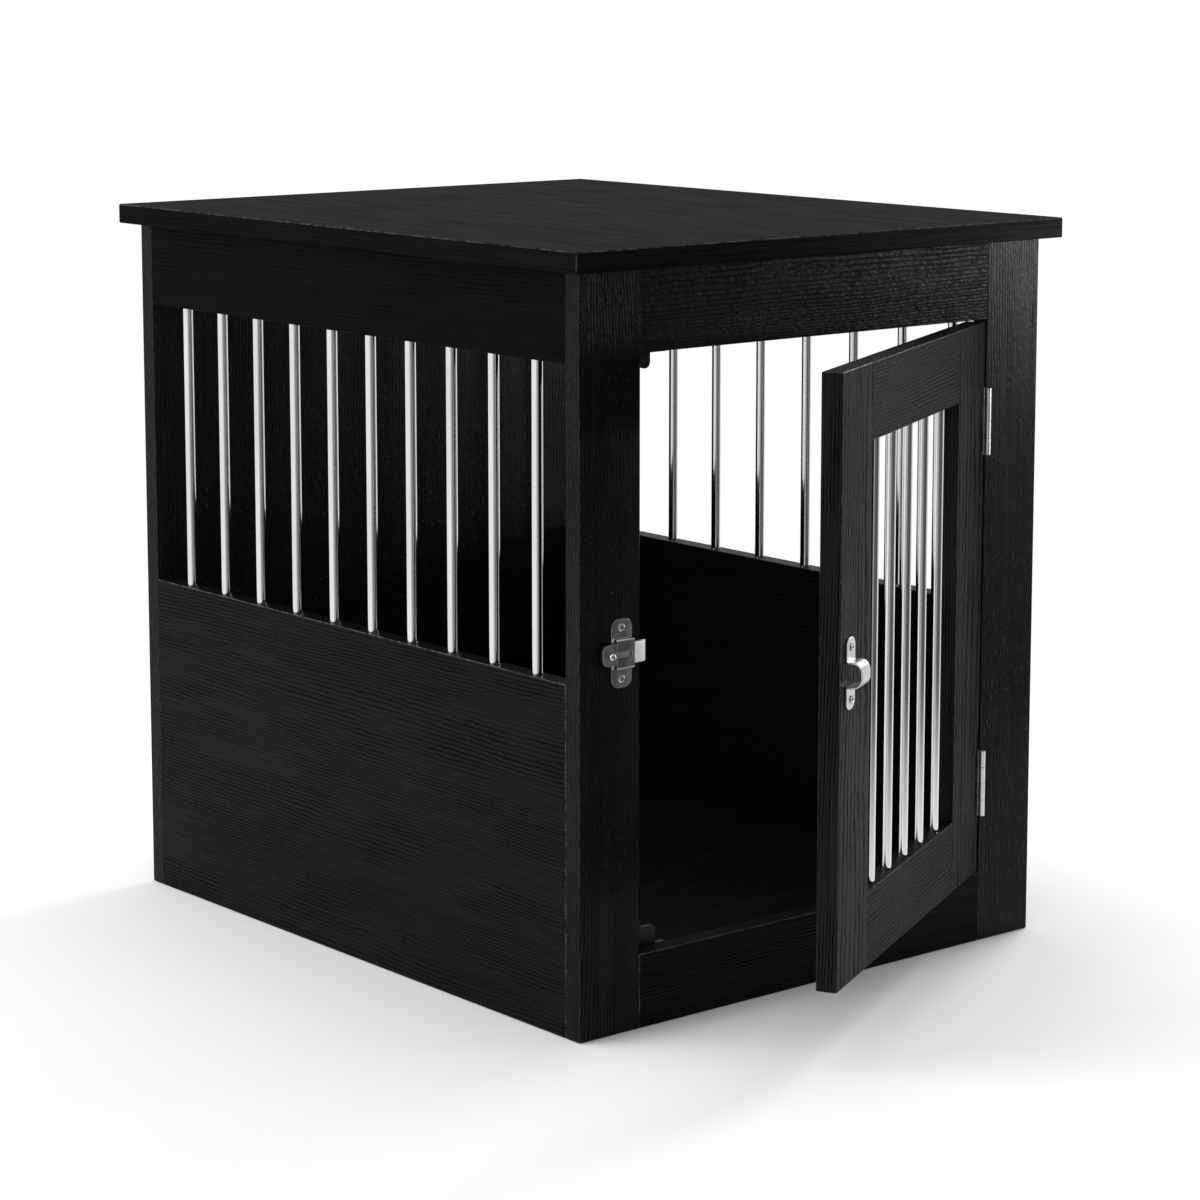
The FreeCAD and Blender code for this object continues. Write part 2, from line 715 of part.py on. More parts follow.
def door(hinge_tools, keeper_holes):
    """Two stiles, two rails and the bars between them."""
    y = (front, door_back)
    z = (door_bottom, door_top)
    inner = (door_left + d.door_stile_width, door_right - d.door_stile_width)
    bottom_z = (door_bottom, door_bottom + d.door_rail_width)
    top_z = (door_top - d.door_rail_width, door_top)
    bottom, bottom_mortises = tenoned("door_bottom_rail_blank", inner, y, bottom_z, "x", d.tenon_length)
    top, top_mortises = tenoned("door_top_rail_blank", inner, y, top_z, "x", d.tenon_length)
    columns = spread(DIMENSIONS["door_bar_count"], inner[0] + d.door_bar_margin, inner[1] - d.door_bar_margin)
    places = [(column, door_middle) for column in columns]
    lower_holes, upper_holes = bar_row("door_bars", places, bottom_z[1], top_z[0])
    shared = [bottom_mortises, top_mortises]
    latch_stile = board("door_latch_stile_board", (door_left, inner[0]), y, z)
    hinge_stile = board("door_hinge_stile_board", (inner[1], door_right), y, z)
    node(cut("door_latch_stile", latch_stile, shared + keeper_holes), swings=True)
    node(cut("door_hinge_stile", hinge_stile, shared + hinge_tools), swings=True)
    node(cut("door_bottom_rail", bottom, lower_holes), swings=True)
    node(cut("door_top_rail", top, upper_holes), swings=True)


mortises, cleat_screws, top_holes = {}, [], []
for side_name, sign in (("left", LEFT), ("right", RIGHT)):
    floor_screws, panel_holes = floor_cleat(f"floor_cleat_{side_name}", sign)
    top_screws, holes = top_cleat(f"top_cleat_{side_name}", sign)
    mortises[sign] = side(side_name, sign, panel_holes)
    cleat_screws += floor_screws + top_screws
    top_holes += holes
node(group("cleat_screws", cleat_screws))
table_top(top_holes)
floor()

post_screws, post_tools, door_screws, door_tools = [], [], [], []
for hinge_name, hinge_height in (("upper_hinge", upper_hinge_height), ("lower_hinge", lower_hinge_height)):
    parts = hinge(hinge_name, hinge_height)
    for collected, made in zip((post_screws, post_tools, door_screws, door_tools), parts):
        collected.extend(made)
node(group("hinge_post_screws", post_screws))
node(group("hinge_door_screws", door_screws), swings=True)

stops = [upper_stop(), lower_stop()]
node(group("door_stop_screws", [made[0] for made in stops]))
front_frame(mortises, latch(), post_tools, [made[1] for made in stops])
door(door_tools, keeper())

back_x, back_y, back_z = (-half_width, half_width), (back_face, back), (as_size(0), d.body_height)
back_board = board("back_panel_board", back_x, back_y, back_z)
node(cut("back_panel", back_board, mortises[LEFT] + mortises[RIGHT]))

doc.recompute()
for item in doc.Objects:
    if "Invalid" in item.State or "Error" in item.State:
        raise RuntimeError(f"{item.Name} did not compute: {item.State}")
for item in nodes:
    if item.Shape.isNull() or not item.Shape.isValid() or not item.Shape.Solids:
        raise RuntimeError(f"{item.Label} has no sound shape")

os.makedirs("parts", exist_ok=True)
for item in nodes:
    item.Shape.exportStep(os.path.join("parts", f"{item.Label}.step"))
print(len(nodes), "pieces written")
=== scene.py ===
"""Finishes, fine hardware, studio and camera for the pet crate."""

import json
import math

import bpy
from mathutils import Matrix, Vector


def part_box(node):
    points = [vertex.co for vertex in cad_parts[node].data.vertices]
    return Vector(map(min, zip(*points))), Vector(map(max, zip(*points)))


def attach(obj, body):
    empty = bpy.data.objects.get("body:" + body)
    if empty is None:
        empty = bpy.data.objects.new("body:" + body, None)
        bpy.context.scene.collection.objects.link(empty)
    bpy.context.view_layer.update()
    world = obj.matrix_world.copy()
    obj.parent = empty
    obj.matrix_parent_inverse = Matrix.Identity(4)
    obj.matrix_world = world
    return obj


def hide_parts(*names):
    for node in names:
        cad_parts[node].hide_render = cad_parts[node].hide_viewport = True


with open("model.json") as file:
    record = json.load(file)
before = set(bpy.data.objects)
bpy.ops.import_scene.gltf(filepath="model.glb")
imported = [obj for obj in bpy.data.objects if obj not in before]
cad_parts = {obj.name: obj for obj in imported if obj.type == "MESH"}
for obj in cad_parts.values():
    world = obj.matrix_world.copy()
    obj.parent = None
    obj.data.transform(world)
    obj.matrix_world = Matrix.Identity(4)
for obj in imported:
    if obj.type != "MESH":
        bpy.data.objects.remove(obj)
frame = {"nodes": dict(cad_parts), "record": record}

MM = 0.001
DOOR_OPEN = math.radians(28)
HINGE = Vector((0.202, -0.3313, 0.0))
CARDS = (-152, 28)
FLOOR_CENTRE = (-0.1, -0.12, 0.0)
BOLT_NOSE = (-0.217, -0.213)
# Outputs of the Texture Coordinate node and of the Mix node
NORMAL, OBJECT = 1, 3
MIXED_VECTOR, MIXED_COLOUR = 1, 2
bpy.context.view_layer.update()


class Value:
    """A shader value that takes part in Python sums."""

    def __init__(self, finish, socket):
        self.finish = finish
        self.socket = socket

    def __add__(self, other):
        return self.finish.maths("ADD", self, other)

    def __radd__(self, other):
        return self.finish.maths("ADD", other, self)

    def __sub__(self, other):
        return self.finish.maths("SUBTRACT", self, other)

    def __rsub__(self, other):
        return self.finish.maths("SUBTRACT", other, self)

    def __mul__(self, other):
        return self.finish.maths("MULTIPLY", self, other)

    def __rmul__(self, other):
        return self.finish.maths("MULTIPLY", other, self)

    def __truediv__(self, other):
        return self.finish.maths("DIVIDE", self, other)


class Finish:
    """A material, or the world, and the ways to add nodes to it."""

    def __init__(self, name, owner=None):
        self.owner = owner or bpy.data.materials.new(name)
        self.owner.use_nodes = True
        self.tree = self.owner.node_tree
        self.tree.nodes.clear()

    def node(self, kind, settings=None, out=0, **inputs):
        """Add a node: its settings first, then its inputs by name, with _ for spaces."""
        made = self.tree.nodes.new(kind)
        for name, value in (settings or {}).items():
            if name == "stops":
                self.stops(made.color_ramp, value)
            else:
                setattr(made, name, value)
        for name, value in inputs.items():
            self.feed(self.input_of(made, name), value)
        return Value(self, made.outputs[out]) if made.outputs else None

    def input_of(self, made, name):
        label = name.replace("_", " ")
        if label.isdigit():
            return made.inputs[int(label)]
        if label[-2:] in (" A", " B") and made.bl_idname == "ShaderNodeMix":
            return next(s for s in made.inputs if s.name == label[-1] and s.type == made.data_type)
        return next(s for s in made.inputs if s.name == label and s.enabled)

    def feed(self, socket, value):
        if isinstance(value, Value):
            self.tree.links.new(value.socket, socket)
        else:
            socket.default_value = value

    def stops(self, ramp, stops):
        while len(ramp.elements) < len(stops):
            ramp.elements.new(1.0)
        for element, (place, tone) in zip(ramp.elements, stops):
            element.position = place
            element.color = (tone, tone, tone, 1.0)

    def maths(self, operation, first, second=0.0):
        made = self.tree.nodes.new("ShaderNodeMath")
        made.operation = operation
        for socket, value in zip(made.inputs, (first, second)):
            self.feed(socket, value)
        return Value(self, made.outputs[0])

    def vectors(self, operation, first, second):
        made = self.tree.nodes.new("ShaderNodeVectorMath")
        made.operation = operation
        for socket, value in zip(made.inputs, (first, second)):
            self.feed(socket, value)
        return Value(self, made.outputs[0])

    def mix(self, factor, first, second):
        """Blend two colours."""
        return self.node(
            "ShaderNodeMix", {"data_type": "RGBA"}, MIXED_COLOUR,
            Factor=factor, tone_A=first, tone_B=second,
        )

    def ramp(self, value, *stops):
        return self.node("ShaderNodeValToRGB", {"stops": stops}, Fac=value)

    def noise(self, place, scale, detail=2.0, roughness=0.5):
        return self.node(
            "ShaderNodeTexNoise", Vector=place, Scale=scale, Detail=detail, Roughness=roughness
        )

    def place(self, stretch=(1, 1, 1), turn=(0, 0, 0)):
        """The spot on the piece, turned and stretched."""
        spot = self.node("ShaderNodeTexCoord", out=OBJECT)
        if any(turn):
            spot = self.node("ShaderNodeMapping", Vector=spot, Rotation=turn)
        return self.vectors("MULTIPLY", spot, stretch)

    def bump(self, height, strength, distance):
        return self.node("ShaderNodeBump", Strength=strength, Distance=distance, Height=height)

    def surface(self, **inputs):
        shader = self.node("ShaderNodeBsdfPrincipled", **inputs)
        self.node("ShaderNodeOutputMaterial", Surface=shader)
        return self.owner


ALONG_X = (0.0, 0.0, 0.0)
ALONG_Y = (0.0, 0.0, math.radians(-90))
ALONG_Z = (0.0, math.radians(90), 0.0)
ALONG_DOOR = (0.0, 0.0, -DOOR_OPEN)
STAIN = (0.0010, 0.0011, 0.0014, 1)
RUBBED = (0.0088, 0.0091, 0.0108)
# Lighter colour of the eased edges: partly wear, partly a painted highlight.
WORN_AND_HIGHLIT = (0.12, 0.119, 0.116, 1)
RINGS_PER_METRE = 290
FLAT_FACE = 0.7
FACING_DOWN = -0.3


def facing(finish, turn=(0, 0, 0)):
    """The way the surface faces, turned to a board's own sides."""
    normal = finish.node("ShaderNodeTexCoord", out=NORMAL)
    return finish.node("ShaderNodeMapping", {"vector_type": "NORMAL"}, Vector=normal, Rotation=turn)


def eased_edge(finish, turn):
    """1 on the narrow eased edges of a board and 0 on its flat faces."""
    parts = finish.node("ShaderNodeSeparateXYZ", Vector=facing(finish, turn))
    node = parts.socket.node
    x, y, z = (finish.maths("ABSOLUTE", Value(finish, socket)) for socket in node.outputs)
    largest = finish.maths("MAXIMUM", finish.maths("MAXIMUM", x, y), z)
    return finish.node("ShaderNodeMapRange", Value=largest, From_Min=0.9, From_Max=0.8)


def black_stained_wood(
    name, turn, coat, sheen=0.36, board_turn=0.0, lines=1.0, relief=0.25, tone=1.0, edge_wear_and_highlight=0.7,
    bare_gloss=0.02, table_top=False,
):
    """Black stained wood under a thin coat: long wavy furrows along the turned X, and a pressed relief.

    A table top has strips along its front and back edges, and more lines and coat on its upper face.
    """
    finish = Finish(name)
    spot = finish.place((1, 1, 1), turn)
    sides = finish.node("ShaderNodeSeparateXYZ", Vector=facing(finish)).socket.node.outputs
    upward = 0.0
    if table_top:
        front_or_back = finish.maths("ABSOLUTE", Value(finish, sides["Y"]))
        strip = finish.maths("GREATER_THAN", front_or_back, FLAT_FACE)
        spot = finish.node(
            "ShaderNodeMix", {"data_type": "VECTOR"}, MIXED_VECTOR,
            Factor=strip, at_A=spot, at_B=finish.place(),
        )
        upward = finish.maths("GREATER_THAN", Value(finish, sides["Z"]), FLAT_FACE)
        lines = 0.35 + upward * 0.75
    node = finish.node("ShaderNodeSeparateXYZ", Vector=spot).socket.node
    across = Value(finish, node.outputs["Y"]) + Value(finish, node.outputs["Z"])

    def noise(stretch, detail=2.0, roughness=0.5):
        return finish.noise(finish.vectors("MULTIPLY", spot, stretch), 1.0, detail, roughness)

    figure = noise((0.9, 7, 7), 1.0)
    sway = noise((6, 26, 26), 2.0)
    jitter = noise((70, 160, 160), 2.0)
    ring = across * RINGS_PER_METRE + figure * 16 + sway * 2.2 + jitter * 0.7
    wave = finish.maths("SINE", ring * math.tau) * 0.5 + 0.5
    furrow = finish.ramp(wave, (0.03, 1.0), (0.42, 0.0))
    depth = finish.ramp(noise((12, 50, 50), 3.0), (0.36, 0.25), (0.6, 1.0))
    furrow = furrow * depth * lines
    fibre = finish.ramp(noise((9, 520, 520), 2.0), (0.3, 0.0), (0.7, 1.0))
    cloud = noise((2.4, 9, 9), 3.0)
    pressed = noise((170, 330, 330), 2.0, 0.45)
    wander = noise((90, 190, 190), 2.0, 0.5)
    squiggle = finish.ramp(finish.maths("ABSOLUTE", wander - 0.5), (0.0, 1.0), (0.05, 0.0))
    sparse = finish.ramp(noise((130, 170, 170), 1.0), (0.5, 0.0), (0.58, 1.0))
    flecks = squiggle * sparse * (1 - furrow)
    edge = eased_edge(finish, (0.0, 0.0, board_turn))
    # The eased edges are painted lighter in broken streaks, partly wear and partly a painted highlight;
    # edges that face down are left dark, as painted shade.
    edge_breakup = finish.noise(finish.place((160, 160, 160)), 1.0, 3.0)
    not_facing_down = finish.maths("GREATER_THAN", Value(finish, sides["Z"]), FACING_DOWN)
    wear_and_highlight = finish.ramp(edge_breakup, (0.4, 0.15), (0.66, 1.0)) * not_facing_down

    light = fibre * 0.35 + cloud * 0.9 - furrow * 0.7
    rubbed = [level * tone for level in RUBBED] + [1]
    colour = finish.mix(finish.node("ShaderNodeClamp", Value=light), STAIN, rubbed)
    # Wear and painted highlight mixed into the colour of the eased edges.
    colour = finish.mix(edge * wear_and_highlight * edge_wear_and_highlight, colour, WORN_AND_HIGHLIT)
    rough = sheen + furrow * 0.2 - flecks * 0.15 - edge * 0.1
    stamped = (pressed * 0.3 + flecks * 0.45) * (1 - upward * 0.25)
    height = fibre * 0.08 - furrow * 0.24 + stamped * relief
    cover = (fibre * 0.5 + 0.65) * (1 - furrow * 0.7) * (1 + upward * 1.15)
    return finish.surface(
        Base_Color=colour, Roughness=rough, Specular_IOR_Level=bare_gloss,
        Coat_Weight=cover * coat, Coat_Roughness=sheen,
        Normal=finish.bump(height, 0.9, 1.0 * MM),
    )


def drawn_steel(name):
    """Bright round bar with fine marks along it from the drawing die and a few dull patches."""
    finish = Finish(name)
    marks = finish.noise(finish.place((1100, 1100, 3)), 1.0, 2.0)
    dull = finish.noise(finish.place((30, 30, 7)), 1.0, 3.0)
    spots = finish.noise(finish.place((420, 420, 300)), 1.0, 2.0)
    specks = finish.ramp(spots, (0.70, 0.0), (0.80, 1.0))
    tone = finish.ramp(dull * 0.7 + marks * 0.3, (0.32, 0.0), (0.68, 1.0))
    colour = finish.mix(tone, (0.7, 0.69, 0.685, 1), (0.82, 0.815, 0.81, 1))
    colour = finish.mix(specks * 0.2, colour, (0.4, 0.39, 0.38, 1))
    rough = 0.04 + dull * 0.08 + specks * 0.1
    return finish.surface(Base_Color=colour, Metallic=1.0, Roughness=rough)


# Duller colour of the bolt behind its nose, which is painted brighter: partly polish, partly a painted
# highlight.
DULL_BEHIND_HIGHLIT_NOSE = (0.27, 0.267, 0.262, 1)
PIT = (0.16, 0.155, 0.15, 1)


def nickel(name, light, dull, sheen, nose=None):
    """Nickel plate over brushed stampings, dulled by handling, or, from a nose's X on, brighter: partly
    polish from sliding, partly a painted highlight.
    """
    finish = Finish(name)
    brushing = finish.noise(finish.place((2600, 2600, 240)), 1.0, 2.0)
    smear = finish.noise(finish.place((130, 130, 110)), 1.0, 4.0)
    dots = finish.noise(finish.place((1500, 1500, 1500)), 1.0, 1.0)
    pits = finish.ramp(dots, (0.68, 0.0), (0.76, 1.0))
    colour = finish.mix(finish.ramp(smear, (0.2, 0.0), (0.8, 1.0)), (*dull, 1), (*light, 1))
    colour = finish.mix(pits * 0.4, colour, PIT)
    # Painted highlight: from the nose's X on the bolt is brighter, partly polish from sliding in the
    # keeper; behind it the colour is duller.
    if nose:
        spot = finish.node("ShaderNodeSeparateXYZ", Vector=finish.place())
        bright = finish.node("ShaderNodeMapRange", Value=spot, From_Min=nose[0], From_Max=nose[1])
        colour = finish.mix(bright, DULL_BEHIND_HIGHLIT_NOSE, colour)
    rough = sheen + brushing * 0.08 + smear * 0.08
    return finish.surface(
        Base_Color=colour, Metallic=1.0, Roughness=rough,
        Normal=finish.bump(brushing * 0.7 - pits, 0.1, 0.02 * MM),
    )


def moulded_plastic(name):
    """Black plastic with a fine moulded grain and rubbed high spots."""
    finish = Finish(name)
    skin = finish.noise(finish.place((2200, 2200, 2200)), 1.0, 2.0)
    rub = finish.noise(finish.place((160, 160, 160)), 1.0, 3.0)
    high_spots = finish.ramp(rub, (0.4, 0.0), (0.7, 1.0))
    colour = finish.mix(high_spots, (0.006, 0.006, 0.0065, 1), (0.018, 0.018, 0.019, 1))
    return finish.surface(
        Base_Color=colour, Roughness=0.42 + rub * 0.2, Specular_IOR_Level=0.3,
        Normal=finish.bump(skin, 0.25, 0.08 * MM),
    )


finishes = {
    "table_top_wood": black_stained_wood(
        "table_top_wood", ALONG_Y, 0.04, 0.28, relief=1.3, tone=0.8, edge_wear_and_highlight=0.45, bare_gloss=0.0,
        table_top=True,
    ),
    "front_rail_wood": black_stained_wood(
        "front_rail_wood", ALONG_X, 0.034, 0.27, relief=1.3, edge_wear_and_highlight=0.3, bare_gloss=0.04
    ),
    "side_wood": black_stained_wood("side_wood", ALONG_Y, 0.057, lines=1.4, edge_wear_and_highlight=1.0),
    "upright_wood": black_stained_wood(
        "upright_wood", ALONG_Z, 0.07, 0.27, relief=1.3, edge_wear_and_highlight=0.3, bare_gloss=0.035
    ),
    "door_rail_wood": black_stained_wood(
        "door_rail_wood", ALONG_DOOR, 0.025, board_turn=-DOOR_OPEN, relief=0.6, bare_gloss=0.016
    ),
    "inner_wood": black_stained_wood("inner_wood", ALONG_X, 0.03, 0.6, tone=1.8, bare_gloss=0.008),
    "bar_steel": drawn_steel("bar_steel"),
    "latch_metal": nickel("latch_metal", (0.7, 0.695, 0.68), (0.5, 0.495, 0.485), 0.13),
    "hinge_metal": nickel("hinge_metal", (0.82, 0.815, 0.8), (0.66, 0.655, 0.645), 0.26),
    "screw_metal": nickel("screw_metal", (0.58, 0.575, 0.565), (0.3, 0.295, 0.29), 0.14),
    "stop_plastic": moulded_plastic("stop_plastic"),
}
# The door stiles: a lighter copy of the door wood, its raised tone painted light on the open door's dim
# latch edge.
door_stile_wood_painted_light = black_stained_wood(
    "door_stile_wood_painted_light", ALONG_Z, 0.022, board_turn=-DOOR_OPEN, relief=0.6, tone=2.2, edge_wear_and_highlight=0.4,
    bare_gloss=0.016,
)
# The top rails under the table top's overhang: a darker copy of the side wood, its low tone painted
# shade from the overhang.
rail_wood_painted_shade = black_stained_wood(
    "rail_wood_painted_shade", ALONG_Y, 0.018, lines=0.8, tone=0.5, edge_wear_and_highlight=0.1, bare_gloss=0.008
)
# The bolt's nickel, with a painted highlight on its nose.
bolt_nickel_painted_highlight = nickel("bolt_nickel_painted_highlight", (0.86, 0.855, 0.84), (0.74, 0.735, 0.72), 0.3, BOLT_NOSE)
keeper_nickel = nickel("keeper_nickel", (0.56, 0.555, 0.545), (0.4, 0.395, 0.39), 0.22)
sill_wood = black_stained_wood(
    "sill_wood", ALONG_X, 0.07, 0.34, lines=1.3, relief=0.6, tone=0.8, bare_gloss=0.012
)
right_post_wood = black_stained_wood(
    "right_post_wood", ALONG_Z, 0.125, 0.27, relief=1.3, edge_wear_and_highlight=0.3, bare_gloss=0.035
)


def dress(piece, material):
    piece.data.materials.clear()
    piece.data.materials.append(material)


for part in frame["record"]["subparts"]:
    dress(frame["nodes"][part["node"]], finishes[part["material_slot"]])
# Painted light: the stiles get the lighter copy of the door wood.
for stile in ("door_hinge_stile", "door_latch_stile"):
    dress(frame["nodes"][stile], door_stile_wood_painted_light)
# Painted shade: the top rails get the darker copy of the side wood.
for rail in ("left_top_rail", "right_top_rail"):
    dress(frame["nodes"][rail], rail_wood_painted_shade)
dress(frame["nodes"]["front_sill"], sill_wood)
dress(frame["nodes"]["front_right_post"], right_post_wood)


def one_selected(piece):
    bpy.ops.object.select_all(action="DESELECT")
    piece.select_set(True)
    bpy.context.view_layer.objects.active = piece


def pick_faces(piece, wanted):
    """Go into edit mode with only the wanted faces selected."""
    one_selected(piece)
    bpy.ops.object.mode_set(mode="EDIT")
    bpy.ops.mesh.select_mode(type="FACE")
    bpy.ops.mesh.select_all(action="DESELECT")
    bpy.ops.object.mode_set(mode="OBJECT")
    for face in piece.data.polygons:
        face.select = wanted(face)
    bpy.ops.object.mode_set(mode="EDIT")


def turned(name, profile, sides):
    """A round piece on the Z axis, drawn out ring by ring from (radius, height) pairs in mm."""
    bpy.ops.object.select_all(action="DESELECT")
    radius, height = profile[0]
    bpy.ops.mesh.primitive_circle_add(
        vertices=sides, radius=radius * MM, fill_type="NGON", location=(0, 0, height * MM)
    )
    piece = bpy.context.object
    piece.name = name
    bpy.ops.object.transform_apply()
    bpy.ops.object.mode_set(mode="EDIT")
    bpy.ops.mesh.select_all(action="SELECT")
    for (radius, height), (next_radius, next_height) in zip(profile, profile[1:]):
        rise = (0, 0, (next_height - height) * MM)
        bpy.ops.mesh.extrude_region_move(TRANSFORM_OT_translate={"value": rise})
        scale = next_radius / radius
        bpy.ops.transform.resize(value=(scale, scale, 1), center_override=(0, 0, next_height * MM))
    bpy.ops.mesh.select_all(action="SELECT")
    bpy.ops.mesh.normals_make_consistent(inside=False)
    bpy.ops.object.mode_set(mode="OBJECT")
    return piece


def cross_recess(piece, top, depth, arm, width):
    """Cut a tapered cross into the top of a screw head."""
    arms = []
    for size in ((arm, width), (width, arm)):
        bpy.ops.object.select_all(action="DESELECT")
        bpy.ops.mesh.primitive_cube_add(size=1, location=(0, 0, top * MM))
        cutter = bpy.context.object
        cutter.scale = (size[0] * MM, size[1] * MM, depth * 2 * MM)
        bpy.ops.object.transform_apply()
        pick_faces(cutter, lambda face: face.normal.z < -0.5)
        bpy.ops.transform.resize(value=(0.55, 0.55, 1))
        bpy.ops.object.mode_set(mode="OBJECT")
        arms.append(cutter)
    for cutter in arms:
        one_selected(piece)
        cut = piece.modifiers.new("recess", "BOOLEAN")
        cut.operation = "DIFFERENCE"
        cut.solver = "EXACT"
        cut.object = cutter
        bpy.ops.object.modifier_apply(modifier=cut.name)
    for cutter in arms:
        one_selected(cutter)
        bpy.ops.object.delete()


def wood_screw(name, length, head, arm):
    """A cross-head screw standing on the XY plane, its shank and point below."""
    shank = [(0.2, -length), (1.0, 2.2 - length), (1.55, 4.5 - length), (1.55, -0.05)]
    piece = turned(name, shank + head, 24)
    top = head[-1][1]
    cross_recess(piece, top, min(0.9, top + 0.3), arm, arm * 0.27)
    one_selected(piece)
    bpy.ops.object.shade_smooth_by_angle(angle=math.radians(38))
    return piece


def screw_set(node, body, master, places):
    """Copies of one screw at their places, each (spot in mm, turn), joined to stand for a node."""
    copies = []
    for spot, turn in places:
        one_selected(master)
        bpy.ops.object.duplicate(linked=False)
        copy = bpy.context.object
        copy.location = spot
        copy.rotation_euler = turn
        bpy.ops.object.transform_apply()
        copies.append(copy)
    one_selected(copies[0])
    for copy in copies:
        copy.select_set(True)
    bpy.ops.object.join()
    piece = bpy.context.object
    piece.name = f"{node}_cross_head"
    hang(piece, body, "screw_metal", node)


def hang(piece, body, slot, node):
    """Give a piece its finish and let it stand for a node."""
    dress(piece, finishes[slot])
    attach(piece, body)
    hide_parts(node)


def eased_copy(node, body, slot, ease):
    """The node's shape with its sharp edges eased, so that they catch the light."""
    piece = bpy.data.objects.new(f"{node}_eased", frame["nodes"][node].data.copy())
    bpy.context.scene.collection.objects.link(piece)
    one_selected(piece)
    bpy.ops.mesh.customdata_custom_splitnormals_clear()
    bpy.ops.object.mode_set(mode="EDIT")
    bpy.ops.mesh.select_all(action="SELECT")
    bpy.ops.mesh.remove_doubles(threshold=0.001 * MM)
    bpy.ops.mesh.dissolve_limited(angle_limit=math.radians(0.5))
    bpy.ops.object.mode_set(mode="OBJECT")
    bevel = piece.modifiers.new("ease", "BEVEL")
    bevel.width = ease * MM
    bevel.segments = 2
    bevel.limit_method = "ANGLE"
    bevel.angle_limit = math.radians(40)
    bpy.ops.object.modifier_apply(modifier=bevel.name)
    bpy.ops.object.shade_smooth_by_angle(angle=math.radians(50))
    flats = piece.modifiers.new("flats", "WEIGHTED_NORMAL")
    flats.keep_sharp = True
    bpy.ops.object.modifier_apply(modifier=flats.name)
    hang(piece, body, slot, node)
    return piece


def bolt_knob():
    """A turned knob with a domed head on a short stem."""
    low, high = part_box("bolt_knob")
    length = (high[1] - low[1]) / MM
    neck = length - KNOB_HEAD[-1][1]
    stem = [(1.4, 0.0), (2.0, 0.4), (2.0, neck - 0.05)]
    head = [(radius, neck + height) for radius, height in KNOB_HEAD]
    knob = turned("bolt_knob_turned", stem + head, 40)
    knob.location = ((low[0] + high[0]) / 2, high[1], (low[2] + high[2]) / 2)
    knob.rotation_euler = TO_FRONT
    one_selected(knob)
    bpy.ops.object.transform_apply()
    bpy.ops.object.shade_smooth_by_angle(angle=math.radians(38))
    hang(knob, "latch_bolt", "latch_metal", "bolt_knob")


def on_door(x, y, z):
    """A spot given on the closed door, in mm, moved to where the open door has it."""
    reach = Vector((x, y, z)) * MM - HINGE
    return HINGE + Matrix.Rotation(DOOR_OPEN, 3, "Z") @ reach


def fixed(x, y, z):
    return Vector((x, y, z)) * MM


QUARTER = math.radians(90)
TO_FRONT, TO_BACK = (QUARTER, 0, 0), (-QUARTER, 0, 0)
TO_LEFT, TO_RIGHT, DOWN = (0, -QUARTER, 0), (0, QUARTER, 0), (2 * QUARTER, 0, 0)
TO_DOOR_FRONT, TO_DOOR_EDGE = (QUARTER, 0, DOOR_OPEN), (0, QUARTER, DOOR_OPEN)
PAN_HEAD = [(3.3, 0.0), (3.5, 0.35), (3.3, 0.85), (2.7, 1.3), (1.8, 1.55), (0.8, 1.62)]
RIM_HEAD = [(3.3, 0.0), (3.5, 0.4), (3.35, 0.85), (2.95, 1.05), (2.5, 0.9), (2.0, 0.35), (0.8, 0.3)]
FLAT_HEAD = [(3.3, 0.0), (3.5, 0.25), (3.2, 0.5), (1.8, 0.6), (0.8, 0.62)]
KNOB_HEAD = [(2.8, 0.0), (3.3, 0.4), (3.3, 2.8), (3.1, 3.6), (2.6, 4.3), (1.8, 4.75), (0.7, 5.0)]
# Where the screw heads sit, in mm, the door's on the closed door
LATCH_X, KEEPER_X, PLATE_FACE = -224, -176.5, -329.5
POST_LEAF_X, DOOR_LEAF_X, LEAF_Y = 203, 201, -320.5
STOP_X, STOP_FACE = -173.5, -304.7
FLOOR_CLEAT_X, FLOOR_CLEAT_Z = 232, 19
TOP_CLEAT_X, TOP_CLEAT_Z = 241, 624
LATCH_SCREWS = (303.5, 346.5)
HINGE_SCREWS = (129.5, 167.5, 461.5, 499.5)
STOP_SCREWS = (52.5, 583)
CLEAT_SCREWS = (-200, 200)

pan_screw = wood_screw("pan_screw", 13, PAN_HEAD, 3.6)
long_screw = wood_screw("long_screw", 28, PAN_HEAD, 3.6)
flat_screw = wood_screw("flat_screw", 13, FLAT_HEAD, 2.8)
rim_screw = wood_screw("rim_screw", 13, RIM_HEAD, 2.8)
latch_places = [(fixed(LATCH_X, PLATE_FACE, z), TO_FRONT) for z in LATCH_SCREWS]
keeper_places = [(on_door(KEEPER_X, PLATE_FACE, z), TO_DOOR_FRONT) for z in LATCH_SCREWS]
post_leaf_places = [(fixed(POST_LEAF_X, LEAF_Y, z), TO_LEFT) for z in HINGE_SCREWS]
door_leaf_places = [(on_door(DOOR_LEAF_X, LEAF_Y, z), TO_DOOR_EDGE) for z in HINGE_SCREWS]
stop_places = [(fixed(STOP_X, STOP_FACE, z), TO_BACK) for z in STOP_SCREWS]
cleat_places = []
for y in CLEAT_SCREWS:
    for side, inward in ((-1, TO_RIGHT), (1, TO_LEFT)):
        cleat_places.append((fixed(side * FLOOR_CLEAT_X, y, FLOOR_CLEAT_Z), inward))
    for side in (-1, 1):
        cleat_places.append((fixed(side * TOP_CLEAT_X, y, TOP_CLEAT_Z), DOWN))
screw_set("latch_screws", "cabinet", rim_screw, latch_places)
screw_set("keeper_screws", "door", rim_screw, keeper_places)
screw_set("hinge_post_screws", "cabinet", flat_screw, post_leaf_places)
screw_set("hinge_door_screws", "door", flat_screw, door_leaf_places)
